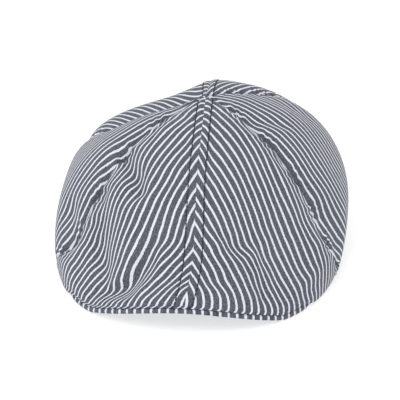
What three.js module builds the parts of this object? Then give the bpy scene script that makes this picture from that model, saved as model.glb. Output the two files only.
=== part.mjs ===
// A flat cap with a duckbill front, in striped cotton twill. Six crown panels meet at the top,
// a stiff arched peak lies under the two front panels, and a hem band turns up round the head
// opening. Millimetres, +Z up, peak towards -Y. The cap stands on its hem and the peak's corners.

import * as THREE from 'three';

// Crown
const crownHalfWidth = 107.5;   // middle of the cap to its widest side
const frontReach = 157;         // where the panels meet to the front of the crown
const backReach = 103;          // where the panels meet to the back of the crown
const crownHeight = 112.5;      // the surface the cap stands on to where the panels meet
const meetingOffset = 1.5;      // where the panels meet, right of the middle
const clothThickness = 2;       // a panel with its turned seam edges
const seamGap = 0.3;            // clearance between neighbouring pieces
const frontOutlinePower = 2.36; // of the front half's superellipse, 2 is an ellipse
const backOutlinePower = 2.2;   // of the back half's
const rollStart = 0.88;         // share of the way down a panel where it turns under

// Peak
const peakThickness = 4;        // stiffening board with cloth on both faces
const peakDepth = 52;           // front edge to the forehead line, at the middle
const peakHalfAngle = 60;       // degrees from the middle of the front to a peak corner
const peakOverhang = 0.6;       // how far the peak's edge stands out past the panels
const peakArch = 14;            // how high the front edge lifts in the middle
const peakArchHalfWidth = 67;   // middle to where the arched edge touches down
const foreheadRise = 14;        // how far the peak slopes up to the forehead line

// Head opening
const hemHeight = 7;
const hemThickness = 2.6;
const hemProud = 0.3;           // how far the hem stands out past the panels' lower edge
const hemBlendAngle = 16;       // degrees over which the hem drops to the peak's corner
const foreheadOutlinePower = 2.1;   // of the forehead line's superellipse

// Mesh density
const panelRowsAbove = 13;      // rows of facets from the top down to the roll
const panelRowsRoll = 5;        // rows round the roll
const panelColumns = 12;        // also the columns of the peak and hem below each panel
const panelTip = 0.006;         // share of the way down at which a panel's tip starts
const tipBlend = 0.08;          // share of the way down over which a tip's wall turns upright
const peakRows = 5;

const meetingY = (frontReach + peakOverhang - backReach) / 2;

function table(columns, rows) {
  return rows.map((row) => Object.fromEntries(columns.map((name, i) => [name, row[i]])));
}

// One row every 30 degrees round the crown, 0 at the front and 90 at +X.
// shoulder, inset: shares of the reach; wall: share of the drop; lift, bulge: shares of the
// crown's height; tuck: share of its half width, how far the lower edge turns in.
const sections = table(
  ['azimuth', 'shoulder', 'wall', 'inset', 'lift', 'bulge', 'tuck'],
  [
    [0, 0.50, 0.30, 0.10, 0.000, 0.020, 0.000],
    [30, 0.52, 0.34, 0.07, 0.000, 0.022, 0.000],
    [60, 0.58, 0.46, 0.00, 0.005, 0.080, 0.030],
    [90, 0.60, 0.50, 0.00, 0.005, 0.210, 0.045],
    [120, 0.62, 0.57, 0.00, 0.030, 0.260, 0.070],
    [150, 0.58, 0.56, 0.00, 0.065, 0.280, 0.080],
    [180, 0.54, 0.60, 0.00, 0.050, 0.300, 0.080],
    [210, 0.46, 0.62, 0.00, -0.045, 0.280, 0.080],
    [240, 0.50, 0.66, 0.00, -0.120, 0.200, 0.070],
    [270, 0.60, 0.56, 0.00, -0.090, 0.100, 0.045],
    [300, 0.60, 0.44, 0.00, -0.030, 0.060, 0.030],
    [330, 0.52, 0.34, 0.07, 0.000, 0.022, 0.000],
  ],
);

// Where the six seams run, in degrees, at four shares of the way down. Right is +X.
const seamCourses = table(
  ['down', 'frontMiddle', 'frontRight', 'backRight', 'backMiddle', 'backLeft', 'frontLeft'],
  [
    [0.00, 3, 50, 124, 180, 282, 314],
    [0.33, 1, 50, 128, 180, 267, 315],
    [0.66, 0, 52, 120, 180, 252, 316],
    [1.00, 0, peakHalfAngle, 115, 180, 245, 360 - peakHalfAngle],
  ],
);

// Seams that draw the cloth in: depth and half width are shares of the crown's height.
const drawnSeams = ['frontRight', 'backRight', 'backLeft', 'frontLeft'];
const seamDraw = { depth: 0.026, halfWidth: 0.085, topFade: 0.18, lowStart: 0.62, lowShare: 0.25 };

// Dents and folds, each from one place on the crown to another. down is the share of the way
// down, depth and halfWidth are shares of the crown's height.
const folds = table(
  ['azimuth', 'down', 'toAzimuth', 'toDown', 'depth', 'halfWidth'],
  [
    [238, 0.16, 256, 0.32, 0.075, 0.170],   // slack back of the left side
    [314, 0.36, 338, 0.43, 0.020, 0.050],   // crease off the left front seam
    [323, 0.50, 335, 0.74, 0.026, 0.080],   // long fold down the left front
    [352, 0.60, 339, 0.85, 0.030, 0.055],   // fold left of the middle, over the peak
    [12, 0.58, 21, 0.80, 0.026, 0.055],     // fold right of the middle, over the peak
    [306, 0.66, 314, 0.72, 0.035, 0.120],   // left temple
    [56, 0.66, 63, 0.86, 0.035, 0.100],     // right temple
    [112, 0.22, 106, 0.42, 0.020, 0.100],   // right side, behind the ear
  ],
);
const foldFade = { start: 0.80, length: 0.10 };   // folds die out at the lower edge

const radians = THREE.MathUtils.degToRad;
const lerp = THREE.MathUtils.lerp;
const clamp = THREE.MathUtils.clamp;

function smooth(value) {
  const share = clamp(value, 0, 1);
  return share * share * (3 - 2 * share);
}

function catmullRom(a, b, c, d, share) {
  const square = share * share;
  return 0.5 * (2 * b + (c - a) * share + (2 * a - 5 * b + 4 * c - d) * square
    + (3 * b - a - 3 * c + d) * square * share);
}

function bezier([a, b, c, d], share) {
  const rest = 1 - share;
  return a * rest ** 3 + 3 * b * rest * rest * share + 3 * c * rest * share * share + d * share ** 3;
}

// Section values at any azimuth, smooth round the whole crown.
function sectionAt(azimuth) {
  const step = 360 / sections.length;
  const place = THREE.MathUtils.euclideanModulo(azimuth, 360) / step;
  const index = Math.floor(place);
  const near = [-1, 0, 1, 2].map((k) => sections[(index + k + sections.length) % sections.length]);
  const value = (name) => catmullRom(...near.map((row) => row[name]), place - index);
  return {
    shoulder: value('shoulder'),
    wall: value('wall'),
    inset: value('inset'),
    lift: value('lift'),
    bulge: value('bulge'),
    tuck: value('tuck'),
  };
}

// A seam's azimuth at a share of the way down.
function seamAzimuth(name, down) {
  const last = seamCourses.length - 1;
  const place = clamp(down, 0, 1) * last;
  const index = Math.min(Math.floor(place), last - 1);
  const near = [-1, 0, 1, 2].map((k) => seamCourses[clamp(index + k, 0, last)][name]);
  return catmullRom(...near, place - index);
}

function outline(azimuth, halfWidth, reach, power) {
  const across = Math.abs(Math.sin(radians(azimuth))) / halfWidth;
  const along = Math.abs(Math.cos(radians(azimuth))) / reach;
  return (across ** power + along ** power) ** (-1 / power);
}

// Distance from where the panels meet to the crown's outline, seen from above.
function crownReach(azimuth) {
  const front = Math.cos(radians(azimuth)) > 0;
  return outline(azimuth, crownHalfWidth, front ? frontReach : backReach,
    front ? frontOutlinePower : backOutlinePower);
}

function rimReach(azimuth) {
  return crownReach(azimuth) - Math.max(sectionAt(azimuth).tuck, 0) * crownHalfWidth;
}

function angleFromFront(azimuth) {
  return Math.abs(THREE.MathUtils.euclideanModulo(azimuth + 180, 360) - 180);
}

// Height of the panels' lower edge: over the arched peak in front, over the hem elsewhere.
function rimHeight(azimuth) {
  const angle = angleFromFront(azimuth);
  const sideways = crownReach(azimuth) * Math.sin(radians(angle));
  const arched = clamp(1 - (sideways / peakArchHalfWidth) ** 2, 0, 1) ** 1.1;
  const arch = angle < peakHalfAngle ? peakArch * arched : 0;
  const overHem = smooth((angle - peakHalfAngle) / hemBlendAngle);
  return seamGap + lerp(peakThickness, hemHeight, overHem) + arch;
}

function place(azimuth, distance, height) {
  const shift = meetingOffset * (1 - clamp(distance / crownReach(azimuth), 0, 1));
  return new THREE.Vector3(
    shift + distance * Math.sin(radians(azimuth)),
    meetingY - distance * Math.cos(radians(azimuth)),
    height,
  );
}

function azimuthOf({ x, y }) {
  return THREE.MathUtils.radToDeg(Math.atan2(x, meetingY - y));
}

// The crown's smooth form: down runs from 0 where the panels meet to 1 at the lower edge.
function smoothCrown(azimuth, down) {
  const { shoulder, wall, inset, lift, bulge, tuck } = sectionAt(azimuth);
  const reach = crownReach(azimuth);
  const rim = rimHeight(azimuth);
  const widest = rim + Math.max(bulge, 0.012) * crownHeight;
  if (down <= rollStart) {
    const share = down / rollStart;
    const distance = bezier([0, shoulder * reach, reach * (1 - inset), reach], share);
    const height = bezier([
      crownHeight,
      crownHeight * (1 + lift),
      widest + wall * (crownHeight - widest),
      widest,
    ], share);
    return place(azimuth, distance, height);
  }
  const share = (down - rollStart) / (1 - rollStart);
  const turnIn = Math.max(tuck, 0) * crownHalfWidth;
  const drop = widest - rim;
  const distance = bezier([reach, reach, reach - 0.7 * turnIn, reach - turnIn], share);
  const height = bezier([widest, widest - 0.5 * drop, rim + 0.25 * drop, rim], share);
  return place(azimuth, distance, height);
}

// Outward direction of a surface function at a place on it.
function outward(surface, azimuth, down) {
  const turn = 0.05;
  const step = 0.001;
  const at = Math.max(down, 4 * step);
  const across = surface(azimuth + turn, at).sub(surface(azimuth - turn, at));
  const below = surface(azimuth, Math.min(at + step, 1)).sub(surface(azimuth, at - step));
  return below.cross(across).normalize();
}

// Depth of a rounded groove at a distance from its middle line.
function groove(depth, halfWidth, distance) {
  return depth * crownHeight * Math.exp(-((distance / (halfWidth * crownHeight)) ** 2));
}

const foldLines = folds.map((fold) => ({
  ...fold,
  line: new THREE.Line3(
    smoothCrown(fold.azimuth, fold.down),
    smoothCrown(fold.toAzimuth, fold.toDown),
  ),
}));

// How far seams and folds draw the cloth in at a place on the crown.
function drawnIn(point, down) {
  const seamFade = smooth(down / seamDraw.topFade)
    * lerp(1, seamDraw.lowShare, smooth((down - seamDraw.lowStart) / (1 - seamDraw.lowStart)));
  const seams = drawnSeams.map((name) => {
    const distance = smoothCrown(seamAzimuth(name, down), down).distanceTo(point);
    return seamFade * groove(seamDraw.depth, seamDraw.halfWidth, distance);
  });
  const nearest = new THREE.Vector3();
  const dents = foldLines.map((fold) => {
    fold.line.closestPointToPoint(point, true, nearest);
    return groove(fold.depth, fold.halfWidth, nearest.distanceTo(point));
  });
  const total = [...seams, ...dents].reduce((sum, value) => sum + value, 0);
  return total * (1 - smooth((down - foldFade.start) / foldFade.length));
}

// The outer face of the cloth.
function cloth(azimuth, down) {
  const point = smoothCrown(azimuth, down);
  const depth = drawnIn(point, down);
  return point.addScaledVector(outward(smoothCrown, azimuth, down), -depth);
}

// The inner face of the cloth, below its outer face. At the tips, where all the panels meet, it
// lies straight below, so that the panels' walls stay apart.
function innerFace(point, azimuth, down) {
  const up = new THREE.Vector3(0, 0, 1);
  const across = up.lerp(outward(cloth, azimuth, down), smooth(down / tipBlend)).normalize();
  const inner = point.clone().addScaledVector(across, -clothThickness);
  return down === 1 ? inner.setZ(rimHeight(azimuthOf(inner))) : inner;
}

// A closed solid between two grids of points: faces over the outer grid, under the inner one
// and round their edge. Edge faces are split from the outer upper corner to the inner lower one,
// so that two walls that face each other across a gap are split alike.
function solidBetween(outer, inner) {
  const rows = outer.length;
  const columns = outer[0].length;
  const index = (i, j) => i * columns + j;
  const innerStart = rows * columns;
  const faces = [];
  for (let i = 0; i < rows - 1; i += 1) {
    for (let j = 0; j < columns - 1; j += 1) {
      const corners = [index(i, j), index(i + 1, j), index(i + 1, j + 1), index(i, j + 1)];
      const [a, b, c, d] = corners;
      faces.push(a, b, c, a, c, d);
      const [e, f, g, h] = corners.map((k) => k + innerStart);
      faces.push(e, g, f, e, h, g);
    }
  }
  const edge = [];
  for (let j = 0; j < columns - 1; j += 1) edge.push(index(0, j));
  for (let i = 0; i < rows - 1; i += 1) edge.push(index(i, columns - 1));
  for (let j = columns - 1; j > 0; j -= 1) edge.push(index(rows - 1, j));
  for (let i = rows - 1; i > 0; i -= 1) edge.push(index(i, 0));
  edge.forEach((a, k) => {
    const b = edge[(k + 1) % edge.length];
    const [c, d] = [a + innerStart, b + innerStart];
    if (a < b) faces.push(a, b, d, a, d, c);
    else faces.push(a, b, c, b, d, c);
  });
  const points = [...outer.flat(), ...inner.flat()];
  const geometry = new THREE.BufferGeometry();
  geometry.setAttribute('position',
    new THREE.Float32BufferAttribute(points.flatMap((p) => p.toArray()), 3));
  geometry.setIndex(faces);
  geometry.computeVertexNormals();
  return geometry;
}

function steps(count, from = 0, to = 1) {
  return Array.from({ length: count + 1 }, (_, i) => lerp(from, to, i / count));
}

// Degrees that a panel stops short of a seam, for half the gap square to the seam.
function halfGapAngle(seam, down) {
  const step = 0.001;
  const [above, below] = [Math.max(down - step, 0), Math.min(down + step, 1)];
  const azimuth = seamAzimuth(seam, down);
  const along = smoothCrown(seamAzimuth(seam, below), below)
    .sub(smoothCrown(seamAzimuth(seam, above), above));
  const perDegree = smoothCrown(azimuth + 0.5, down).sub(smoothCrown(azimuth - 0.5, down));
  return seamGap / 2 / perDegree.cross(along.normalize()).length();
}

// Azimuths of a panel's columns at a share of the way down.
function panelAzimuths(fromSeam, toSeam, down) {
  const from = seamAzimuth(fromSeam, down);
  const to = seamAzimuth(toSeam, down);
  const end = to > from ? to : to + 360;
  return steps(panelColumns, from + halfGapAngle(fromSeam, down), end - halfGapAngle(toSeam, down));
}

const stripedTwill = new THREE.MeshStandardMaterial({ color: '#8b8e96', roughness: 0.95, metalness: 0 });
const peakCover = new THREE.MeshStandardMaterial({ color: '#82858d', roughness: 0.95, metalness: 0 });
const hemTape = new THREE.MeshStandardMaterial({ color: '#6a6d76', roughness: 0.95, metalness: 0 });

// One crown panel between two seams, a wall of cloth that stops half a gap short of each seam.
function panel(name, fromSeam, toSeam) {
  const downs = [
    ...steps(panelRowsAbove, panelTip, rollStart),
    ...steps(panelRowsRoll, rollStart, 1).slice(1),
  ];
  const outer = [];
  const inner = [];
  downs.forEach((down) => {
    const azimuths = panelAzimuths(fromSeam, toSeam, down);
    const row = azimuths.map((azimuth) => cloth(azimuth, down));
    outer.push(row);
    inner.push(row.map((point, k) => innerFace(point, azimuths[k], down)));
  });
  const mesh = new THREE.Mesh(solidBetween(outer, inner), stripedTwill);
  mesh.name = name;
  return mesh;
}

// The peak: a crescent board from the forehead line out to the arched front edge. It is level
// under the panels' lower edge and slopes up from there to the forehead.
function peak() {
  const azimuths = [
    ...panelAzimuths('frontLeft', 'frontMiddle', 1),
    ...panelAzimuths('frontMiddle', 'frontRight', 1).map((azimuth) => azimuth + 360),
  ];
  const columns = azimuths.map((azimuth) => {
    const forehead = outline(azimuth, rimReach(90) - hemThickness, frontReach - peakDepth,
      foreheadOutlinePower);
    const edge = rimReach(azimuth) + peakOverhang;
    const seat = edge - peakOverhang - clothThickness - seamGap;
    const rise = foreheadRise * (1 - (angleFromFront(azimuth) / peakHalfAngle) ** 2);
    return [...steps(peakRows, forehead, seat), edge].map((distance) => {
      const slope = clamp((seat - distance) / (seat - forehead), 0, 1) ** 1.5;
      return place(azimuth, distance, rimHeight(azimuth) - seamGap + rise * slope);
    });
  });
  const top = columns[0].map((_, i) => columns.map((column) => column[i]));
  const under = top.map((row) => row.map((p) => p.clone().setZ(p.z - peakThickness)));
  const mesh = new THREE.Mesh(solidBetween(top, under), peakCover);
  mesh.name = 'peak';
  return mesh;
}

// The hem: a turned-up band under the panels, from one peak corner round the back to the other.
function hemBand() {
  const azimuths = [
    ...panelAzimuths('frontRight', 'backRight', 1),
    ...panelAzimuths('backRight', 'backMiddle', 1).slice(1),
    ...panelAzimuths('backMiddle', 'backLeft', 1).slice(1),
    ...panelAzimuths('backLeft', 'frontLeft', 1).slice(1),
  ];
  const face = (inward) => steps(1).map((out) => azimuths.map((azimuth) => place(
    azimuth,
    rimReach(azimuth) + hemProud - inward,
    (rimHeight(azimuth) - seamGap) * (1 - out),
  )));
  const mesh = new THREE.Mesh(solidBetween(face(0), face(hemThickness)), hemTape);
  mesh.name = 'hem_band';
  return mesh;
}

const flatCap = new THREE.Group();
flatCap.add(
  panel('front_panel_right', 'frontMiddle', 'frontRight'),
  panel('side_panel_right', 'frontRight', 'backRight'),
  panel('back_panel_right', 'backRight', 'backMiddle'),
  panel('back_panel_left', 'backMiddle', 'backLeft'),
  panel('side_panel_left', 'backLeft', 'frontLeft'),
  panel('front_panel_left', 'frontLeft', 'frontMiddle'),
  peak(),
  hemBand(),
);

export default flatCap;
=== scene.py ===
import math

import bpy
import numpy as np
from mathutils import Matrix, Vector


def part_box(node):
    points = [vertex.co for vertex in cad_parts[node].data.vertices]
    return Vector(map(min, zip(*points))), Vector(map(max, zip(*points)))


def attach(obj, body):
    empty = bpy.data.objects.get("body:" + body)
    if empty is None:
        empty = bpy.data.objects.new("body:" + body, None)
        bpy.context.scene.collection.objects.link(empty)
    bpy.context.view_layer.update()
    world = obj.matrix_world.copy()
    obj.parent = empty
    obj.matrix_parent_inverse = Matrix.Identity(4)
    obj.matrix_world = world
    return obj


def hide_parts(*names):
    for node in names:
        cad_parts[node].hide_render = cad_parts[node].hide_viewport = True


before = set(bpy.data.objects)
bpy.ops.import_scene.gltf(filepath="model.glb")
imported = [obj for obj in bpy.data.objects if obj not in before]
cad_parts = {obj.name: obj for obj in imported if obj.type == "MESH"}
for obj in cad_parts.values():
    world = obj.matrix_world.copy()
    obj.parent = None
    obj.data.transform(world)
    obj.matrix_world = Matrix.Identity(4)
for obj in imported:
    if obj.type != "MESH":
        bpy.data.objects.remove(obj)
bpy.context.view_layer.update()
bpy.ops.object.select_all(action="DESELECT")

# Crown form. The crown is one rounded bag of cloth, high over the head and drawn down in front
# over the peak. Every panel is cut from this form: azimuth is the way round in degrees, 0 at the
# peak and 90 at +X, and down is the share of the way from the top to the lower edge.
crown_half_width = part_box("side_panel_right")[1].x
crown_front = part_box("front_panel_right")[0].y
crown_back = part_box("back_panel_right")[1].y
crown_height = 0.1125
front_reach = 0.157
meeting_offset = 0.0015
meeting_y = crown_front + front_reach
back_reach = crown_back - meeting_y
front_outline_power = 2.36
back_outline_power = 2.2
roll_start = 0.88
least_bulge = 0.012
seam_gap = 0.0003

peak_thickness = 0.004
peak_half_angle = 60
peak_arch = 0.014
peak_arch_half_width = 0.067
peak_arch_power = 1.1
hem_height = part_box("hem_band")[1].z
hem_blend_angle = 16

# azimuth, then shares: shoulder and inset of the reach, wall of the drop, lift and bulge of the
# height, tuck of the half width
section_columns = ["azimuth", "shoulder", "wall", "inset", "lift", "bulge", "tuck"]
section_rows = [
    (0, 0.50, 0.30, 0.10, 0.000, 0.020, 0.000),
    (30, 0.52, 0.34, 0.07, 0.000, 0.022, 0.000),
    (60, 0.58, 0.46, 0.00, 0.005, 0.080, 0.030),
    (90, 0.60, 0.50, 0.00, 0.005, 0.210, 0.045),
    (120, 0.62, 0.57, 0.00, 0.030, 0.260, 0.070),
    (150, 0.58, 0.56, 0.00, 0.045, 0.280, 0.080),
    (180, 0.54, 0.60, 0.00, 0.035, 0.300, 0.080),
    (210, 0.46, 0.62, 0.00, -0.160, 0.280, 0.080),
    (240, 0.50, 0.66, 0.00, -0.210, 0.200, 0.070),
    (270, 0.60, 0.56, 0.00, -0.110, 0.100, 0.045),
    (300, 0.60, 0.44, 0.00, -0.030, 0.060, 0.030),
    (330, 0.52, 0.34, 0.07, 0.000, 0.022, 0.000),
]
sections = np.array(section_rows)[:, 1:]


def smooth(value):
    share = np.clip(value, 0, 1)
    return share * share * (3 - 2 * share)


def catmull_rom(a, b, c, d, share):
    square = share * share
    bend = 2 * a - 5 * b + 4 * c - d
    turn = 3 * b - a - 3 * c + d
    return 0.5 * (2 * b + (c - a) * share + bend * square + turn * square * share)


def bezier(a, b, c, d, share):
    rest = 1 - share
    return a * rest**3 + 3 * b * rest**2 * share + 3 * c * rest * share**2 + d * share**3


def section_at(azimuth):
    row = np.mod(azimuth, 360) * len(sections) / 360
    index = np.floor(row).astype(int)
    near = [sections[(index + k) % len(sections)] for k in (-1, 0, 1, 2)]
    values = catmull_rom(*near, (row - index)[..., None])
    return dict(zip(section_columns[1:], np.moveaxis(values, -1, 0)))


def superellipse(azimuth, half_width, reach, power):
    across = np.abs(np.sin(np.radians(azimuth))) / half_width
    along = np.abs(np.cos(np.radians(azimuth))) / reach
    return (across**power + along**power) ** (-1 / power)


def crown_reach(azimuth):
    front = np.cos(np.radians(azimuth)) > 0
    reach = np.where(front, front_reach, back_reach)
    power = np.where(front, front_outline_power, back_outline_power)
    return superellipse(azimuth, crown_half_width, reach, power)


def rim_reach(azimuth):
    tuck = np.maximum(section_at(azimuth)["tuck"], 0)
    return crown_reach(azimuth) - tuck * crown_half_width


def angle_from_front(azimuth):
    return np.abs(np.mod(azimuth + 180, 360) - 180)


def rim_height(azimuth):
    angle = angle_from_front(azimuth)
    sideways = crown_reach(azimuth) * np.sin(np.radians(angle))
    arched = np.clip(1 - (sideways / peak_arch_half_width) ** 2, 0, 1) ** peak_arch_power
    arch = np.where(angle < peak_half_angle, peak_arch * arched, 0)
    over_hem = smooth((angle - peak_half_angle) / hem_blend_angle)
    return seam_gap + peak_thickness + (hem_height - peak_thickness) * over_hem + arch


def place(azimuth, distance, height):
    shift = meeting_offset * (1 - np.clip(distance / crown_reach(azimuth), 0, 1))
    x = shift + distance * np.sin(np.radians(azimuth))
    y = meeting_y - distance * np.cos(np.radians(azimuth))
    return np.stack([x, y, height], -1)


def crown_distance(azimuth, down):
    section = section_at(azimuth)
    reach = crown_reach(azimuth)
    shoulder = section["shoulder"] * reach
    above = bezier(0 * reach, shoulder, reach * (1 - section["inset"]), reach, down / roll_start)
    turn_in = np.maximum(section["tuck"], 0) * crown_half_width
    share = np.clip((down - roll_start) / (1 - roll_start), 0, 1)
    below = bezier(reach, reach, reach - 0.7 * turn_in, reach - turn_in, share)
    return np.where(down <= roll_start, above, below)


def crown_form(azimuth, down):
    azimuth, down = np.broadcast_arrays(np.asarray(azimuth, float), np.asarray(down, float))
    section = section_at(azimuth)
    rim = rim_height(azimuth)
    widest = rim + np.maximum(section["bulge"], least_bulge) * crown_height
    top = crown_height + 0 * rim
    shoulder = crown_height * (1 + section["lift"])
    wall = widest + section["wall"] * (crown_height - widest)
    above = bezier(top, shoulder, wall, widest, np.clip(down / roll_start, 0, 1))
    drop = widest - rim
    share = np.clip((down - roll_start) / (1 - roll_start), 0, 1)
    below = bezier(widest, widest - 0.5 * drop, rim + 0.25 * drop, rim, share)
    height = np.where(down <= roll_start, above, below)
    return place(azimuth, crown_distance(azimuth, down), height)


def unit(vectors):
    return vectors / np.linalg.norm(vectors, axis=-1, keepdims=True)


def outward(surface, azimuth, down):
    """Outward directions of a surface, which turn straight up towards the crown's tip."""
    turn, step, tip_reach = 0.05, 0.001, 0.08
    at = np.maximum(down, 4 * step)
    across = surface(azimuth + turn, at) - surface(azimuth - turn, at)
    below = surface(azimuth, np.minimum(at + step, 1)) - surface(azimuth, at - step)
    tip = 1 - smooth(np.asarray(down) / tip_reach)[..., None]
    return unit(unit(np.cross(below, across)) * (1 - tip) + np.array([0, 0, 1]) * tip)


# Seams, dents and folds. Four of the six seams draw the cloth in, and the slack of a soft cap falls
# in a few dents and creases. Each row gives the seams' azimuths at a share of the way down. Depths
# and widths are shares of the crown's height.
seam_columns = ["down", "front_middle", "front_right", "back_right", "back_middle", "back_left",
                "front_left"]
seam_rows = [
    (0.00, 3.0, 50, 124, 180, 282, 314),
    (0.33, 1.8, 50, 128, 180, 267, 315),
    (0.66, 2.0, 52, 120, 180, 252, 316),
    (1.00, -0.8, peak_half_angle, 115, 180, 245, 360 - peak_half_angle),
]
seams = dict(zip(seam_columns, np.array(seam_rows, float).T))
drawn_seams = ["front_right", "back_right", "back_left", "front_left"]
seam_draw_depth = 0.026
seam_draw_width = 0.085
seam_draw_top = 0.18
seam_slack_start = 0.62
seam_slack = 0.75
fold_end = 0.25
smooth_foot_start = 0.80
smooth_foot_length = 0.12

# path of (azimuth, down), dent depth, step up on the left of the path, width
folds = [
    ([(238, 0.16), (256, 0.32)], 0.075, 0.000, 0.170),
    ([(314, 0.35), (322, 0.365), (330, 0.38), (338.5, 0.435)], 0.034, 0.012, 0.050),
    ([(320, 0.50), (331, 0.657), (337, 0.76)], 0.034, 0.012, 0.060),
    ([(349.5, 0.60), (346.5, 0.74), (342.5, 0.80), (334, 0.855)], 0.026, 0.014, 0.045),
    ([(11, 0.57), (16, 0.613), (19, 0.672), (21.5, 0.80)], 0.026, -0.014, 0.045),
    ([(306, 0.66), (314, 0.72)], 0.045, 0.000, 0.110),
    ([(56, 0.66), (63, 0.86)], 0.040, 0.000, 0.100),
    ([(112, 0.22), (106, 0.42)], 0.020, 0.000, 0.100),
    ([(4, 0.735), (11, 0.738)], 0.012, 0.000, 0.035),
    ([(60, 0.22), (74, 0.30)], 0.018, 0.000, 0.060),
]


def seam_azimuth(name, down):
    course = seams[name]
    last = len(course) - 1
    at = np.clip(down, 0, 1) * last
    index = np.minimum(np.floor(at).astype(int), last - 1)
    near = [course[np.clip(index + k, 0, last)] for k in (-1, 0, 1, 2)]
    return catmull_rom(*near, at - index)


def distance_to_path(points, normals, path):
    """Distance to a fold with its side as the sign, and the share of the way along it."""
    corners = [crown_form(azimuth, down) for azimuth, down in path]
    nearest = np.full(points.shape[:-1], 1e9)
    side = np.ones_like(nearest)
    along = np.zeros_like(nearest)
    for index, (start, end) in enumerate(zip(corners[:-1], corners[1:])):
        run = end - start
        share = np.clip(((points - start) @ run) / (run @ run), 0, 1)
        off = points - (start + share[..., None] * run)
        distance = np.linalg.norm(off, axis=-1)
        left = np.sign((off * np.cross(run, normals)).sum(-1))
        closer = distance < nearest
        side = np.where(closer, left, side)
        along = np.where(closer, (index + share) / (len(path) - 1), along)
        nearest = np.minimum(distance, nearest)
    return nearest * side, along


def seam_distance(name, points, down):
    return np.linalg.norm(crown_form(seam_azimuth(name, down), down) - points, axis=-1)


def drawn_in(points, normals, down):
    slackened = seam_slack * smooth((down - seam_slack_start) / (1 - seam_slack_start))
    seam_fade = smooth(down / seam_draw_top) * (1 - slackened)
    depth = np.zeros(down.shape)
    for name in drawn_seams:
        share = seam_distance(name, points, down) / (seam_draw_width * crown_height)
        depth += seam_draw_depth * seam_fade * np.exp(-(share**2))
    for path, dent, step, width in folds:
        distance, along = distance_to_path(points, normals, path)
        share = distance / (width * crown_height)
        ends = smooth(along / fold_end) * smooth((1 - along) / fold_end)
        depth += dent * np.exp(-(share**2))
        depth -= step * ends * share * np.exp(0.5 - share**2 / 2)
    return depth * crown_height * (1 - smooth((down - smooth_foot_start) / smooth_foot_length))


def soft_cloth(azimuth, down):
    points = crown_form(azimuth, down)
    normals = outward(crown_form, azimuth, down)
    return points - normals * drawn_in(points, normals, down)[..., None]


# Sewing lines. Each seam is a tight groove. Beside the middle seam the turned edges lie flat
# under the cloth, which raises a strip that is stitched down along both its edges.
seam_groove_depth = 0.0020
middle_groove_depth = 0.0006
seam_groove_width = 0.0016
strip_top_half_width = 0.0052
strip_foot_half_width = 0.0060
strip_widening_share = 0.7
strip_rise = 0.0004
strip_edge = 0.001
stitch_groove_depth = 0.0006
stitch_groove_width = 0.0008
lip_turn = 0.0010
lip_start = 0.985
pucker_depth = 0.0008
pucker_spacing = 0.0085
pucker_reach = 0.007
pucker_sway = 0.0035
seam_length = 0.16
corner_drop = 0.0060
corner_out = 0.0004
corner_start = 0.86
floor_clearance = 0.0006


def strip_half_width(down):
    widening = strip_foot_half_width - strip_top_half_width
    return strip_top_half_width + widening * smooth(down / strip_widening_share)


def sideways_of_middle(points, azimuth, down):
    front = np.cos(np.radians(azimuth)) > 0
    middle = np.where(front, seam_azimuth("front_middle", down), seam_azimuth("back_middle", down))
    return points[..., 0] - crown_form(middle, down)[..., 0]


def sewn_in(points, azimuth, down):
    depth = np.zeros(down.shape)
    for index, name in enumerate(seam_columns[1:]):
        distance = seam_distance(name, points, down)
        groove_depth = seam_groove_depth if name in drawn_seams else middle_groove_depth
        depth += groove_depth * np.exp(-((distance / seam_groove_width) ** 2))
        if name in drawn_seams:
            sway = pucker_sway * np.sin(down * 40 + index)
            run = down * seam_length + sway + distance * 0.5
            wave = np.sin(2 * np.pi * run / pucker_spacing)
            near = smooth(down / 0.15) * np.exp(-((distance / pucker_reach) ** 2))
            depth += pucker_depth * wave * near
    beyond = np.abs(sideways_of_middle(points, azimuth, down)) - strip_half_width(down)
    depth -= strip_rise * smooth((strip_edge - beyond) / (2 * strip_edge))
    share = beyond / stitch_groove_width
    depth += stitch_groove_depth * np.exp(-(share**2))
    return depth + lip_turn * smooth((down - lip_start) / (1 - lip_start))


def corner_share(azimuth):
    """Where the front corners of the crown reach down over the peak's edge and the hem."""
    angle = angle_from_front(azimuth)
    return smooth((angle - 33) / 8) * (1 - smooth((angle - 88) / 14))


def cover_corner(points, azimuth, down):
    share = corner_share(azimuth) * smooth((down - corner_start) / (1 - corner_start))
    drop = np.minimum(corner_drop, rim_height(azimuth) - floor_clearance)
    turn = np.radians(azimuth)
    shift = np.stack([corner_out * np.sin(turn), -corner_out * np.cos(turn), -drop], -1)
    return points + shift * share[..., None]


def sewn_cloth(azimuth, down):
    points = soft_cloth(azimuth, down)
    normals = outward(soft_cloth, azimuth, down)
    points = points - normals * sewn_in(crown_form(azimuth, down), azimuth, down)[..., None]
    return cover_corner(points, azimuth, down)


# Crown panels. Each is cut from striped cotton twill and eased to shape as it is sewn to its
# neighbours. A panel starts as a flat grid, is laid on the crown's form and gets the cloth's
# thickness as a wall. Where the stripes run on the two front panels is charted.
cloth_thickness = 0.0018
panel_columns = 110
panel_rows = 150
rows_above_roll = 0.84
panel_tip = 0.0008
edge_spacing = 0.35
stripe_spacing = 0.00525

# seam before and seam after
panels = {
    "front_panel_right": ("front_middle", "front_right"),
    "side_panel_right": ("front_right", "back_right"),
    "back_panel_right": ("back_right", "back_middle"),
    "back_panel_left": ("back_middle", "back_left"),
    "side_panel_left": ("back_left", "front_left"),
    "front_panel_left": ("front_left", "front_middle"),
}

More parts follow.
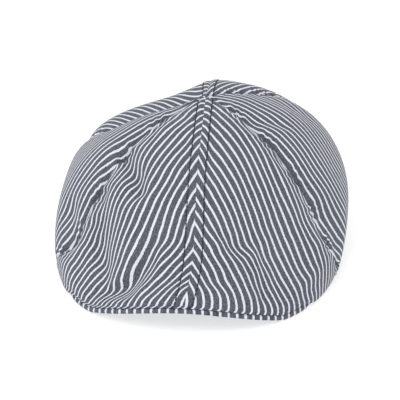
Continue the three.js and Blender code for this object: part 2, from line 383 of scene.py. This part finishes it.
# Stripes counted from the middle seam's lower end. Columns are shares of the way across the
# panel from left to right, and each row is a share of the way down with its stripe counts.
stripe_charts = {
    "front_panel_right": (
        [0.05, 0.15, 0.25, 0.30, 0.35, 0.40, 0.45, 0.55, 0.65, 0.75, 0.85, 0.95],
        [
            (0.00, 19.8, 19.8, 19.8, 19.8, 19.8, 19.8, 19.8, 19.8, 19.8, 19.8, 19.8, 19.8),
            (0.10, 17.1, 17.3, 17.6, 17.8, 17.9, 18.1, 18.3, 18.7, 19.0, 19.4, 19.8, 20.2),
            (0.20, 14.3, 15.0, 15.7, 16.0, 16.4, 16.7, 17.0, 17.7, 18.4, 19.2, 20.0, 21.1),
            (0.30, 11.6, 13.0, 13.9, 14.4, 14.9, 15.4, 15.9, 17.0, 18.2, 19.3, 20.4, 21.8),
            (0.40, 9.5, 10.8, 12.3, 13.0, 13.7, 14.5, 15.3, 16.8, 18.3, 19.9, 21.1, 23.0),
            (0.50, 7.5, 9.1, 10.9, 11.9, 12.9, 13.9, 14.8, 16.7, 18.5, 20.1, 21.7, 23.6),
            (0.55, 6.4, 8.3, 10.4, 11.6, 12.6, 13.7, 14.7, 16.7, 18.5, 20.1, 22.1, 24.0),
            (0.60, 5.4, 7.1, 9.8, 11.2, 12.4, 13.4, 14.4, 16.6, 18.5, 20.2, 22.5, 24.3),
            (0.65, 4.4, 6.4, 8.4, 9.4, 10.9, 13.1, 14.3, 16.4, 18.4, 20.2, 22.3, 24.2),
            (0.70, 3.4, 5.5, 7.7, 8.7, 9.9, 12.3, 13.8, 16.1, 18.4, 20.2, 22.0, 24.1),
            (0.75, 2.3, 4.9, 7.1, 8.3, 9.6, 11.6, 13.3, 15.8, 18.2, 20.2, 22.2, 24.4),
            (0.80, 1.3, 3.9, 6.6, 7.9, 9.3, 11.0, 12.7, 15.5, 17.9, 20.2, 22.6, 24.8),
            (0.85, 0.9, 3.6, 6.4, 7.8, 9.3, 10.8, 12.3, 15.4, 18.4, 21.0, 23.5, 26.0),
            (0.90, 0.8, 3.6, 6.5, 8.0, 9.5, 11.0, 12.6, 15.6, 18.5, 21.6, 24.4, 27.0),
            (1.00, 0.8, 3.7, 6.7, 8.2, 9.8, 11.3, 12.9, 16.0, 19.0, 22.0, 25.0, 28.0),
        ],
    ),
    "front_panel_left": (
        [0.05, 0.15, 0.25, 0.35, 0.45, 0.55, 0.65, 0.70, 0.75, 0.80, 0.85, 0.95],
        [
            (0.00, 18.4, 18.4, 18.4, 18.4, 18.4, 18.4, 18.4, 18.4, 18.4, 18.4, 18.4, 18.4),
            (0.10, 19.4, 18.9, 18.2, 17.7, 17.3, 16.8, 16.4, 16.2, 16.0, 15.9, 15.8, 15.6),
            (0.15, 19.8, 19.0, 18.2, 17.6, 17.1, 16.6, 15.9, 15.6, 15.3, 15.1, 14.8, 14.2),
            (0.20, 20.0, 19.1, 18.0, 17.2, 16.6, 15.8, 15.0, 14.6, 14.2, 13.9, 13.4, 12.7),
            (0.25, 20.3, 19.4, 18.2, 17.0, 16.2, 15.3, 14.4, 13.9, 13.5, 13.0, 12.4, 11.4),
            (0.30, 20.5, 19.3, 18.1, 16.9, 15.8, 14.8, 13.7, 13.1, 12.6, 12.0, 11.5, 10.4),
            (0.35, 21.2, 19.9, 18.5, 17.0, 15.7, 14.4, 13.1, 12.5, 11.9, 11.2, 10.6, 9.5),
            (0.40, 23.0, 21.5, 19.7, 18.0, 15.8, 14.0, 12.8, 12.1, 11.4, 10.6, 9.9, 8.7),
            (0.45, 22.6, 20.7, 18.9, 17.2, 15.6, 13.6, 12.2, 11.5, 10.7, 9.9, 9.2, 7.9),
            (0.50, 22.5, 20.5, 18.8, 16.8, 15.0, 13.3, 11.9, 11.1, 10.3, 9.5, 8.7, 7.1),
            (0.55, 23.2, 21.0, 19.0, 17.1, 14.9, 13.1, 11.6, 10.8, 10.1, 9.3, 8.4, 6.5),
            (0.60, 24.3, 22.7, 19.7, 17.6, 15.0, 12.8, 11.3, 10.5, 9.8, 9.0, 8.1, 6.1),
            (0.65, 25.0, 23.2, 20.9, 18.2, 15.3, 12.7, 11.1, 10.2, 9.3, 8.0, 7.1, 5.3),
            (0.70, 24.9, 22.9, 21.1, 18.8, 15.9, 12.9, 10.9, 10.0, 8.8, 7.0, 6.1, 4.2),
            (0.75, 24.7, 23.0, 21.2, 18.8, 16.2, 13.4, 11.1, 10.1, 7.9, 6.3, 5.4, 3.0),
            (0.80, 25.5, 23.3, 21.3, 18.9, 16.2, 13.9, 11.4, 9.8, 6.7, 5.6, 4.4, 1.5),
            (0.85, 27.0, 24.5, 22.0, 19.3, 16.3, 13.2, 9.8, 8.1, 6.5, 5.0, 3.7, 1.0),
            (0.90, 30.0, 26.7, 23.5, 20.3, 17.1, 13.4, 10.0, 8.3, 6.7, 5.2, 3.7, 1.0),
            (1.00, 31.0, 27.5, 24.2, 20.9, 17.6, 13.9, 10.5, 8.7, 7.0, 5.4, 3.8, 1.0),
        ],
    ),
    "side_panel_right": (
        [0.00, 0.10, 0.20, 0.30, 0.45, 0.60, 0.80, 1.00],
        [
            (0.00, 1.0, 1.0, 1.0, 1.0, 1.0, 1.0, 1.0, 1.0),
            (0.10, -1.8, -1.0, -0.3, 0.4, 1.3, 2.2, 3.4, 4.2),
            (0.20, -3.2, -1.6, -0.2, 1.0, 2.4, 3.7, 5.4, 6.8),
            (0.30, -4.0, -2.2, -0.5, 1.0, 3.0, 5.0, 7.6, 9.7),
            (0.40, -4.1, -2.0, 0.0, 1.6, 4.0, 6.5, 9.5, 12.1),
            (0.50, -4.0, -1.6, 0.6, 2.4, 5.2, 8.0, 11.3, 14.4),
            (0.60, -4.3, -2.0, 0.3, 2.6, 5.9, 9.0, 12.8, 16.5),
            (0.70, -4.6, -2.3, 0.0, 2.2, 5.6, 8.9, 12.9, 16.8),
            (0.80, -5.3, -3.1, -0.8, 1.3, 4.6, 7.8, 12.0, 16.2),
            (0.90, -5.8, -3.8, -1.7, 0.5, 3.6, 6.7, 10.9, 15.0),
            (1.00, -6.0, -4.0, -2.0, 0.0, 3.0, 6.0, 10.0, 14.0),
        ],
    ),
    "side_panel_left": (
        [0.00, 0.20, 0.40, 0.55, 0.70, 0.80, 0.90, 1.00],
        [
            (0.00, 0.0, 0.0, 0.0, 0.0, 0.0, 0.0, 0.0, 0.0),
            (0.10, 4.5, 3.5, 2.5, 1.8, 1.0, 0.5, 0.0, -0.5),
            (0.20, 6.5, 5.2, 3.9, 2.4, 1.1, 0.3, -0.5, -1.3),
            (0.30, 8.5, 6.8, 4.6, 2.7, 1.0, 0.1, -1.0, -2.2),
            (0.40, 9.5, 7.2, 4.6, 2.2, 0.3, -0.8, -1.9, -3.3),
            (0.50, 11.5, 8.6, 5.2, 2.6, 0.5, -0.8, -2.9, -4.8),
            (0.60, 13.5, 10.0, 6.4, 3.6, 1.1, -0.8, -2.7, -5.2),
            (0.70, 15.0, 11.4, 7.5, 4.6, 1.9, -0.1, -2.4, -4.8),
            (0.80, 16.6, 12.9, 9.0, 6.0, 3.0, 0.8, -1.5, -4.0),
            (1.00, 18.0, 14.0, 10.0, 7.0, 4.0, 2.0, 0.0, -2.0),
        ],
    ),
}


def curve_through(knots, values, at):
    """Smooth curve through values[k] at knots[k], read at many places and straight beyond the ends.

    values has one column for all places, or one for each place."""
    knots = np.asarray(knots, float)
    slopes = np.gradient(values, knots, axis=0)
    index = np.clip(np.searchsorted(knots, at) - 1, 0, len(knots) - 2)
    column = np.arange(len(at)) if values.shape[1] > 1 else 0
    step = knots[index + 1] - knots[index]
    share = (at - knots[index]) / step
    inside = np.clip(share, 0, 1)
    first = values[index, column]
    last = values[index + 1, column]
    rise = slopes[index, column] * step
    fall = slopes[index + 1, column] * step
    square, cube = inside**2, inside**3
    curve = (first * (2 * cube - 3 * square + 1) + rise * (cube - 2 * square + inside)
             + last * (3 * square - 2 * cube) + fall * (cube - square))
    return curve + np.maximum(share - 1, 0) * fall + np.minimum(share, 0) * rise


def charted_stripes(chart, across, down):
    columns, rows = chart
    rows = np.array(rows)
    by_row = np.array([curve_through(columns, counts[:, None], across) for counts in rows[:, 1:]])
    return curve_through(rows[:, 0], by_row, down)


def add_grid(name, columns, rows):
    bpy.ops.object.select_all(action="DESELECT")
    bpy.ops.mesh.primitive_grid_add(x_subdivisions=columns, y_subdivisions=rows, size=1)
    piece = bpy.context.object
    piece.name = name
    piece.data.name = name
    corners = np.zeros(len(piece.data.vertices) * 3)
    piece.data.vertices.foreach_get("co", corners)
    across, up, _ = (corners.reshape(-1, 3) + 0.5).T
    return piece, across, 1 - up


def move_vertices(piece, points):
    piece.data.vertices.foreach_set("co", np.ascontiguousarray(points, float).ravel())
    piece.data.update()


def mesh_area(piece):
    return sum(face.area for face in piece.data.polygons)


def flat_pattern(piece):
    """The piece's UV map as one row for each face corner, and the vertex of each corner."""
    layer = piece.data.uv_layers.active
    flat = np.zeros(len(layer.uv) * 2)
    layer.uv.foreach_get("vector", flat)
    owner = np.zeros(len(layer.uv), int)
    piece.data.loops.foreach_get("vertex_index", owner)
    return flat.reshape(-1, 2), owner


def lay_cloth(piece, flat):
    piece.data.uv_layers.active.uv.foreach_set("vector", flat.ravel())


def flatten_pattern(piece, across, down):
    """Unwraps a panel to its flat pattern piece in metres, middle upright, and returns its size."""
    bpy.ops.object.mode_set(mode="EDIT")
    bpy.ops.mesh.select_all(action="SELECT")
    bpy.ops.uv.unwrap(method="ANGLE_BASED", margin=0)
    bpy.ops.object.mode_set(mode="OBJECT")
    flat, owner = flat_pattern(piece)
    place_of = np.zeros((len(across), 2))
    place_of[owner] = flat
    corners = np.array([place_of[list(face.vertices)] for face in piece.data.polygons])
    following = np.roll(corners, -1, axis=1)
    cross = corners[..., 0] * following[..., 1] - corners[..., 1] * following[..., 0]
    flat_area = np.abs(cross.sum(1)).sum() / 2
    scale = math.sqrt(mesh_area(piece) / flat_area)
    off_middle = np.abs(across - 0.5)
    tip = place_of[np.argmin(down * 1000 + off_middle)]
    foot = place_of[np.argmin((1 - down) * 10 + off_middle)]
    grain = unit(tip - foot)
    turned = (flat - tip) @ np.array([[grain[1], grain[0]], [-grain[0], grain[1]]]) * scale
    lay_cloth(piece, turned)
    return tuple(turned.max(axis=0) - turned.min(axis=0))


def lay_stripes(piece, counts):
    """Gives each corner of the flat pattern its place across the stripes."""
    flat, owner = flat_pattern(piece)
    flat[:, 0] = (counts[owner] + 0.5) * stripe_spacing
    lay_cloth(piece, flat)


def wall_panel(piece, inner):
    solidify = piece.modifiers.new("thickness", "SOLIDIFY")
    solidify.thickness = cloth_thickness
    solidify.offset = -1
    bpy.ops.object.modifier_apply(modifier="thickness")
    count = len(inner)
    corners = np.zeros(len(piece.data.vertices) * 3)
    piece.data.vertices.foreach_get("co", corners)
    corners = corners.reshape(-1, 3)
    corners[count:] = inner
    move_vertices(piece, corners)
    bpy.ops.object.shade_smooth_by_angle(angle=math.radians(60))


def panel_azimuth(from_seam, to_seam, across, down):
    start = seam_azimuth(from_seam, down)
    end = seam_azimuth(to_seam, down)
    end = np.where(end > start, end, end + 360)
    return start + (end - start) * across


def add_panel(panel_name, from_seam, to_seam):
    piece, across, rows_down = add_grid(panel_name + "_cloth", panel_columns, panel_rows)
    across = across - edge_spacing * np.sin(2 * np.pi * across) / (2 * np.pi)
    down = np.interp(rows_down, [0, rows_above_roll, 1], [panel_tip, roll_start, 1])
    azimuth = panel_azimuth(from_seam, to_seam, across, down)
    move_vertices(piece, sewn_cloth(azimuth, down))
    cut_size = flatten_pattern(piece, across, down)
    if panel_name in stripe_charts:
        lay_stripes(piece, charted_stripes(stripe_charts[panel_name], across, down))
    inner = soft_cloth(azimuth, down) - outward(soft_cloth, azimuth, down) * cloth_thickness
    lowest = down > 0.999
    inner[lowest, 2] = rim_height(azimuth[lowest])
    inner = cover_corner(inner, azimuth, down)
    wall_panel(piece, inner)
    return piece


# Cloth. A grey-blue twill with narrow white stripes woven in: heathered yarn, a fine diagonal
# rib, and stripes whose edges follow the threads.
ground_dark = (0.036, 0.041, 0.056, 1)
ground_light = (0.135, 0.142, 0.170, 1)
stripe_white = (0.640, 0.660, 0.725, 1)
stripe_width = 0.0015
stripe_waver = 0.0009
stripe_raggedness = 0.0009
stripe_softness = 0.00018


def node(tree, kind, inputs=None, **settings):
    made = tree.nodes.new(kind)
    for name, value in settings.items():
        setattr(made, name, value)
    for key, value in (inputs or {}).items():
        if isinstance(value, bpy.types.NodeSocket):
            tree.links.new(value, made.inputs[key])
        else:
            made.inputs[key].default_value = value
    return made


def shader_group(name, inputs, outputs):
    group = bpy.data.node_groups.new(name, "ShaderNodeTree")
    for label, kind, value in inputs:
        socket = group.interface.new_socket(label, in_out="INPUT", socket_type=kind)
        if value is not None:
            socket.default_value = value
    for label, kind in outputs:
        group.interface.new_socket(label, in_out="OUTPUT", socket_type=kind)
    return group, group.nodes.new("NodeGroupInput"), group.nodes.new("NodeGroupOutput")


def math_node(tree, operation, first, second=0.0):
    return node(tree, "ShaderNodeMath", {0: first, 1: second}, operation=operation).outputs[0]


def make_stripe_group():
    group, given, result = shader_group(
        "woven stripe",
        [("Cloth", "NodeSocketVector", None), ("Spacing", "NodeSocketFloat", stripe_spacing),
         ("Width", "NodeSocketFloat", stripe_width)],
        [("Line", "NodeSocketFloat")],
    )
    waver = node(group, "ShaderNodeTexNoise",
                 {"Vector": given.outputs["Cloth"], "Scale": 90.0, "Detail": 2.0})
    ragged = node(group, "ShaderNodeTexNoise",
                  {"Vector": given.outputs["Cloth"], "Scale": 1100.0, "Detail": 1.0})
    split = node(group, "ShaderNodeSeparateXYZ", {0: given.outputs["Cloth"]})
    wavering = math_node(group, "MULTIPLY", waver.outputs["Fac"], stripe_waver)
    ragging = math_node(group, "MULTIPLY", ragged.outputs["Fac"], stripe_raggedness)
    moved = math_node(group, "ADD", split.outputs["X"], wavering)
    moved = math_node(group, "ADD", moved, ragging)
    count = math_node(group, "DIVIDE", moved, given.outputs["Spacing"])
    part = math_node(group, "FRACT", count)
    off = math_node(group, "ABSOLUTE", math_node(group, "SUBTRACT", part, 0.5))
    distance = math_node(group, "MULTIPLY", off, given.outputs["Spacing"])
    half = math_node(group, "MULTIPLY", given.outputs["Width"], 0.5)
    line = node(group, "ShaderNodeMapRange",
                {"Value": distance,
                 "From Min": math_node(group, "ADD", half, stripe_softness),
                 "From Max": math_node(group, "SUBTRACT", half, stripe_softness)},
                interpolation_type="SMOOTHSTEP")
    group.links.new(line.outputs["Result"], result.inputs["Line"])
    return group


def make_weave_group():
    group, given, result = shader_group(
        "twill weave",
        [("Cloth", "NodeSocketVector", None), ("Rib", "NodeSocketFloat", 0.0008)],
        [("Yarn", "NodeSocketFloat"), ("Height", "NodeSocketFloat"),
         ("Fade", "NodeSocketFloat")],
    )
    stretched = node(group, "ShaderNodeMapping",
                     {"Vector": given.outputs["Cloth"], "Scale": (1.0, 0.45, 1.0)})
    yarn = node(group, "ShaderNodeTexNoise",
                {"Vector": stretched.outputs[0], "Scale": 1500.0, "Detail": 2.0})
    fade = node(group, "ShaderNodeTexNoise",
                {"Vector": given.outputs["Cloth"], "Scale": 40.0, "Detail": 3.0})
    split = node(group, "ShaderNodeSeparateXYZ", {0: given.outputs["Cloth"]})
    diagonal = math_node(group, "ADD", split.outputs["X"], split.outputs["Y"])
    rib = math_node(group, "PINGPONG", math_node(group, "DIVIDE", diagonal, given.outputs["Rib"]),
                    0.5)
    height = math_node(group, "ADD", rib, math_node(group, "MULTIPLY", yarn.outputs["Fac"], 0.6))
    group.links.new(yarn.outputs["Fac"], result.inputs["Yarn"])
    group.links.new(height, result.inputs["Height"])
    group.links.new(fade.outputs["Fac"], result.inputs["Fade"])
    return group


woven_stripe = make_stripe_group()
twill_weave = make_weave_group()


def striped_cloth(name):
    material = bpy.data.materials.new(name)
    material.use_nodes = True
    tree = material.node_tree
    shader = tree.nodes["Principled BSDF"]
    cloth = node(tree, "ShaderNodeUVMap").outputs[0]
    stripe = node(tree, "ShaderNodeGroup", node_tree=woven_stripe)
    tree.links.new(cloth, stripe.inputs["Cloth"])
    weave = node(tree, "ShaderNodeGroup", node_tree=twill_weave)
    tree.links.new(cloth, weave.inputs["Cloth"])
    heather = node(tree, "ShaderNodeMapRange",
                   {"Value": weave.outputs["Yarn"], "From Min": 0.32, "From Max": 0.68})
    ground = node(tree, "ShaderNodeMix", {0: heather.outputs[0], 6: ground_dark, 7: ground_light},
                  data_type="RGBA")
    worn = node(tree, "ShaderNodeMapRange",
                {"Value": weave.outputs["Fade"], "From Min": 0.3, "From Max": 0.7,
                 "To Min": 0.92, "To Max": 1.08})
    toned = node(tree, "ShaderNodeMix",
                 {0: 1.0, 6: ground.outputs[2], 7: worn.outputs[0]},
                 data_type="RGBA", blend_type="MULTIPLY")
    striped = node(tree, "ShaderNodeMix",
                   {0: stripe.outputs["Line"], 6: toned.outputs[2], 7: stripe_white},
                   data_type="RGBA")
    tree.links.new(striped.outputs[2], shader.inputs["Base Color"])
    relief = math_node(tree, "ADD", weave.outputs["Height"],
                       math_node(tree, "MULTIPLY", stripe.outputs["Line"], 0.4))
    bump = node(tree, "ShaderNodeBump",
                {"Height": relief, "Strength": 0.35, "Distance": 0.0002})
    tree.links.new(bump.outputs[0], shader.inputs["Normal"])
    shader.inputs["Roughness"].default_value = 0.92
    shader.inputs["Specular IOR Level"].default_value = 0.2
    shader.inputs["Sheen Weight"].default_value = 0.08
    shader.inputs["Sheen Roughness"].default_value = 0.5
    return material


for panel_name, (from_seam, to_seam) in panels.items():
    panel = add_panel(panel_name, from_seam, to_seam)
    panel.data.materials.append(striped_cloth(panel_name + " twill"))
    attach(panel, "root")
    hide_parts(panel_name)


# Topstitching. Two rows of dark thread run beside the middle seam, from the peak over the top to
# the back, and hold down the turned edges under the strip.
stitch_length = 0.0032
stitch_spacing = 0.0033
stitch_half_width = 0.00050
stitch_rise = 0.00030
course_points = 400
course_end = 0.995
thread_dark = (0.006, 0.007, 0.012, 1)
thread_light = (0.018, 0.020, 0.030, 1)


def down_at_distance(azimuth, distance):
    """Share of the way down at a distance from the tip, found by halving."""
    low = np.zeros(azimuth.shape)
    high = np.full(azimuth.shape, roll_start)
    for _ in range(30):
        middle = (low + high) / 2
        short = crown_distance(azimuth, middle) < distance
        low = np.where(short, middle, low)
        high = np.where(short, high, middle)
    return (low + high) / 2


def stitch_course(side):
    """Places along a row of stitches, from the peak's edge over the top to the back's hem."""
    along = np.linspace(front_reach, -back_reach, course_points)[1:-1]
    seam_down = down_at_distance(np.where(along > 0, 0.0, 180.0), np.abs(along))
    seam_turn = np.where(along > 0, seam_azimuth("front_middle", seam_down), 0)
    offset = side * strip_half_width(seam_down) + np.abs(along) * np.sin(np.radians(seam_turn))
    azimuth = np.degrees(np.arctan2(offset, along))
    distance = np.hypot(offset, along)
    reached = distance < crown_reach(azimuth)
    azimuth, distance = azimuth[reached], distance[reached]
    down = down_at_distance(azimuth, distance)
    end_rows = np.linspace(roll_start, course_end, 24)[1:]
    seam_below = seam_azimuth("front_middle", end_rows) - seam_azimuth("front_middle", roll_start)
    front = azimuth[0] + seam_below
    back = np.full(len(end_rows), azimuth[-1])
    azimuth = np.concatenate([front[::-1], azimuth, back])
    down = np.concatenate([end_rows[::-1], down, end_rows])
    return azimuth, down


def run_along(line):
    """Length along a line of points, from its first point to each."""
    return np.concatenate([[0], np.cumsum(np.linalg.norm(np.diff(line, axis=0), axis=1))])


def at_run(at, run, values):
    return np.array([np.interp(at, run, values[:, k]) for k in range(3)])


def one_stitch():
    """A short round-ended stitch that lies along X, as points and faces."""
    bpy.ops.object.select_all(action="DESELECT")
    bpy.ops.mesh.primitive_uv_sphere_add(segments=6, ring_count=5, radius=1)
    stitch = bpy.context.object
    shape = np.array([vertex.co for vertex in stitch.data.vertices])
    faces = [tuple(face.vertices) for face in stitch.data.polygons]
    bpy.data.objects.remove(stitch)
    return shape[:, [2, 0, 1]] * (stitch_length / 2, stitch_half_width, stitch_half_width), faces


def add_stitch_rows():
    shape, faces = one_stitch()
    points = []
    all_faces = []
    for side in (-1, 1):
        azimuth, down = stitch_course(side)
        line = sewn_cloth(azimuth, down)
        normal = outward(soft_cloth, azimuth, down)
        run = run_along(line)
        for at in np.arange(stitch_spacing / 2, run[-1], stitch_spacing):
            start = at_run(at - stitch_length / 2, run, line)
            end = at_run(at + stitch_length / 2, run, line)
            along = unit(end - start)
            up = at_run(at, run, normal)
            up = unit(up - along * (up @ along))
            axes = np.stack([along, np.cross(up, along), up])
            first = len(points) * len(shape)
            points.append(shape @ axes + at_run(at, run, line) + up * stitch_rise)
            all_faces += [tuple(first + k for k in face) for face in faces]
    mesh = bpy.data.meshes.new("topstitch_rows")
    mesh.from_pydata(np.concatenate(points).tolist(), [], all_faces)
    rows = bpy.data.objects.new("topstitch_rows", mesh)
    bpy.context.scene.collection.objects.link(rows)
    return rows


def thread_material():
    material = bpy.data.materials.new("dark thread")
    material.use_nodes = True
    tree = material.node_tree
    shader = tree.nodes["Principled BSDF"]
    place_on = node(tree, "ShaderNodeTexCoord").outputs["Object"]
    twist = node(tree, "ShaderNodeTexNoise", {"Vector": place_on, "Scale": 900.0, "Detail": 1.0})
    tone = node(tree, "ShaderNodeMix",
                {0: twist.outputs["Fac"], 6: thread_dark, 7: thread_light}, data_type="RGBA")
    tree.links.new(tone.outputs[2], shader.inputs["Base Color"])
    shader.inputs["Roughness"].default_value = 0.7
    return material


topstitch = add_stitch_rows()
topstitch.data.materials.append(thread_material())
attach(topstitch, "root")


# Peak. A stiff board bent to an arch, covered in the same cloth. Its rounded edge shows below the
# front panels as a narrow band, where the stripes cross square to the edge.
peak_depth = 0.052
peak_overhang = 0.0006
peak_drawn_back = 0.0029
forehead_rise = 0.014
forehead_rise_power = 1.5
forehead_outline_power = 2.1
flat_edge = 0.0025
hem_thickness = 0.0026
band_stripe_spacing = 0.0058
band_start = 0.93
band_blend = 0.03
peak_columns = 180
edge_steps = 10
face_steps = 26
ruler_points = 600
merge_distance = 0.00001


def forehead_reach(azimuth):
    half_width = rim_reach(np.array(90.0)) - hem_thickness
    return superellipse(azimuth, half_width, front_reach - peak_depth, forehead_outline_power)


def peak_section():
    """Round the board's section: share out from the forehead, share up, 0 to 1 each."""
    turn = np.linspace(90, -90, edge_steps + 1)
    flat = np.linspace(0, 1, face_steps + 1)
    outer = [(1, math.sin(math.radians(a)), math.cos(math.radians(a))) for a in turn]
    inner = [(0, math.sin(math.radians(a)), -math.cos(math.radians(a))) for a in turn[::-1]]
    top = [(share, 1, 0) for share in flat[1:-1]]
    under = [(share, -1, 0) for share in flat[::-1][1:-1]]
    loop = top + outer + under + inner
    return np.array(loop + loop[:1])


def length_round(along, start, end, reach):
    """Length round an edge at each share of the way from azimuth start to end, and all of it."""
    azimuth = np.linspace(start, end, ruler_points)
    run = run_along(place(azimuth, reach(azimuth), np.zeros(ruler_points)))
    return np.interp(along, np.linspace(0, 1, ruler_points), run), run[-1]


def close_shell(piece):
    """Joins a grid that was wrapped round a section, closes its ends and turns its faces out."""
    bpy.ops.object.mode_set(mode="EDIT")
    bpy.ops.mesh.select_all(action="SELECT")
    bpy.ops.mesh.remove_doubles(threshold=merge_distance)
    bpy.ops.mesh.fill_holes(sides=0)
    bpy.ops.mesh.select_all(action="SELECT")
    bpy.ops.mesh.normals_make_consistent(inside=False)
    bpy.ops.object.mode_set(mode="OBJECT")
    bpy.ops.object.shade_smooth_by_angle(angle=math.radians(50))


def add_peak():
    section = peak_section()
    piece, along, around = add_grid("peak_cover", peak_columns, len(section) - 1)
    out, up, bulge = section[np.rint(around * (len(section) - 1)).astype(int)].T
    azimuth = -peak_half_angle + 2 * peak_half_angle * along
    radius = peak_thickness / 2
    forehead = forehead_reach(azimuth) + radius
    edge = rim_reach(azimuth) + peak_overhang - radius - peak_drawn_back * corner_share(azimuth)
    distance = forehead + (edge - forehead) * out + bulge * radius
    side = angle_from_front(azimuth) / peak_half_angle
    slope = (edge - flat_edge - distance) / (edge - flat_edge - forehead)
    rise = forehead_rise * (1 - side**2) * np.clip(slope, 0, 1) ** forehead_rise_power
    middle = rim_height(azimuth) - seam_gap - radius + rise
    points = place(azimuth, distance, middle + up * radius)
    move_vertices(piece, points)
    length, whole = length_round(along, -peak_half_angle, peak_half_angle, crown_reach)
    band = np.clip((out - band_start) / band_blend, 0, 1)
    round_band = (length - whole / 2) * stripe_spacing / band_stripe_spacing
    cloth_u = points[:, 0] * (1 - band) + round_band * band
    _, owner = flat_pattern(piece)
    lay_cloth(piece, np.stack([cloth_u, points[:, 1]], -1)[owner])
    close_shell(piece)
    return piece


peak = add_peak()
peak.data.materials.append(striped_cloth("peak twill"))
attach(peak, "root")
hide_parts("peak")


# Hem band. The lower edge of the crown is turned up and stitched to a narrow band of the same
# cloth, from one corner of the peak round the back to the other.
hem_proud = 0.0003
hem_drawn_back = 0.0024
hem_end_gap = 0.2
hem_columns = 300
hem_corner = 0.0009
hem_corner_points = 4


def hem_section():
    """Round the band's section: share in from the outer face and share up, with round corners."""
    corners = [(0, 1, 180, 90), (1, 1, 90, 0), (1, 0, 360, 270), (0, 0, 270, 180)]
    loop = []
    for inward, up, start, end in corners:
        for turn in np.radians(np.linspace(start, end, hem_corner_points)):
            loop.append((inward, up, math.cos(turn), math.sin(turn)))
    return np.array(loop + loop[:1])


def add_hem():
    section = hem_section()
    piece, along, around = add_grid("hem_band_cloth", hem_columns, len(section) - 1)
    inward, up, round_in, round_up = section[np.rint(around * (len(section) - 1)).astype(int)].T
    start = peak_half_angle + hem_end_gap
    azimuth = start + (360 - 2 * start) * along
    height = rim_height(azimuth) - seam_gap
    outer = rim_reach(azimuth) + hem_proud - hem_drawn_back * corner_share(azimuth)
    depth = np.where(inward > 0, hem_thickness - hem_corner, hem_corner) + round_in * hem_corner
    level = np.where(up > 0, height - hem_corner, hem_corner) + round_up * hem_corner
    move_vertices(piece, place(azimuth, outer - depth, level))
    length, _ = length_round(along, peak_half_angle, 360 - peak_half_angle, rim_reach)
    _, owner = flat_pattern(piece)
    lay_cloth(piece, np.stack([length, level + depth], -1)[owner])
    close_shell(piece)
    return piece


hem = add_hem()
hem.data.materials.append(striped_cloth("hem twill"))
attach(hem, "root")
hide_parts("hem_band")


# Studio. A plain pale floor that runs out of view, an even white surround, and three soft lamps:
# one high in front, one low on each side.
floor_half_size = 3.0
bpy.ops.object.select_all(action="DESELECT")
bpy.ops.mesh.primitive_plane_add(size=2 * floor_half_size, location=(0, 0, -0.0002))
floor = bpy.context.object
floor.name = "floor"
floor_paint = bpy.data.materials.new("pale floor")
floor_paint.use_nodes = True
floor_shader = floor_paint.node_tree.nodes["Principled BSDF"]
floor_shader.inputs["Base Color"].default_value = (0.45, 0.45, 0.45, 1)
floor_shader.inputs["Emission Color"].default_value = (1, 1, 1, 1)
floor_shader.inputs["Emission Strength"].default_value = 0.62
floor_shader.inputs["Roughness"].default_value = 0.9
floor_shader.inputs["Specular IOR Level"].default_value = 0.1
floor.data.materials.append(floor_paint)

surround = bpy.data.worlds.new("white surround")
bpy.context.scene.world = surround
surround.use_nodes = True
surround.node_tree.nodes["Background"].inputs["Color"].default_value = (1, 1, 1, 1)
surround.node_tree.nodes["Background"].inputs["Strength"].default_value = 0.95

# place, size and strength of each lamp
lamps = {
    "front lamp": ((-0.5, -1.1, 1.6), 1.2, 12.0),
    "left lamp": ((-1.6, -0.3, 0.7), 1.0, 4.0),
    "right lamp": ((1.6, -0.2, 0.8), 1.0, 3.0),
}
for lamp_name, (lamp_place, lamp_size, lamp_power) in lamps.items():
    bpy.ops.object.light_add(type="AREA", location=lamp_place)
    lamp = bpy.context.object
    lamp.name = lamp_name
    lamp.data.size = lamp_size
    lamp.data.energy = lamp_power
    lamp.rotation_euler = (Vector((0, 0, 0.05)) - lamp.location).to_track_quat("-Z", "Y").to_euler()

# Camera. It looks down on the peak from a little right of the middle.
camera_turn = math.radians(5.3)
camera_rise = math.radians(23)
camera_distance = 1.25
camera_aim = Vector((-0.0003, 0, 0.0408))
bpy.ops.object.camera_add()
camera = bpy.context.object
camera.data.lens = 155
camera.data.sensor_width = 36
camera.location = Vector((0, 0, 0.055)) + camera_distance * Vector((
    math.sin(camera_turn) * math.cos(camera_rise),
    -math.cos(camera_turn) * math.cos(camera_rise),
    math.sin(camera_rise),
))
camera.rotation_euler = (camera_aim - camera.location).to_track_quat("-Z", "Y").to_euler()
bpy.context.scene.camera = camera
bpy.context.scene.view_settings.view_transform = "Standard"
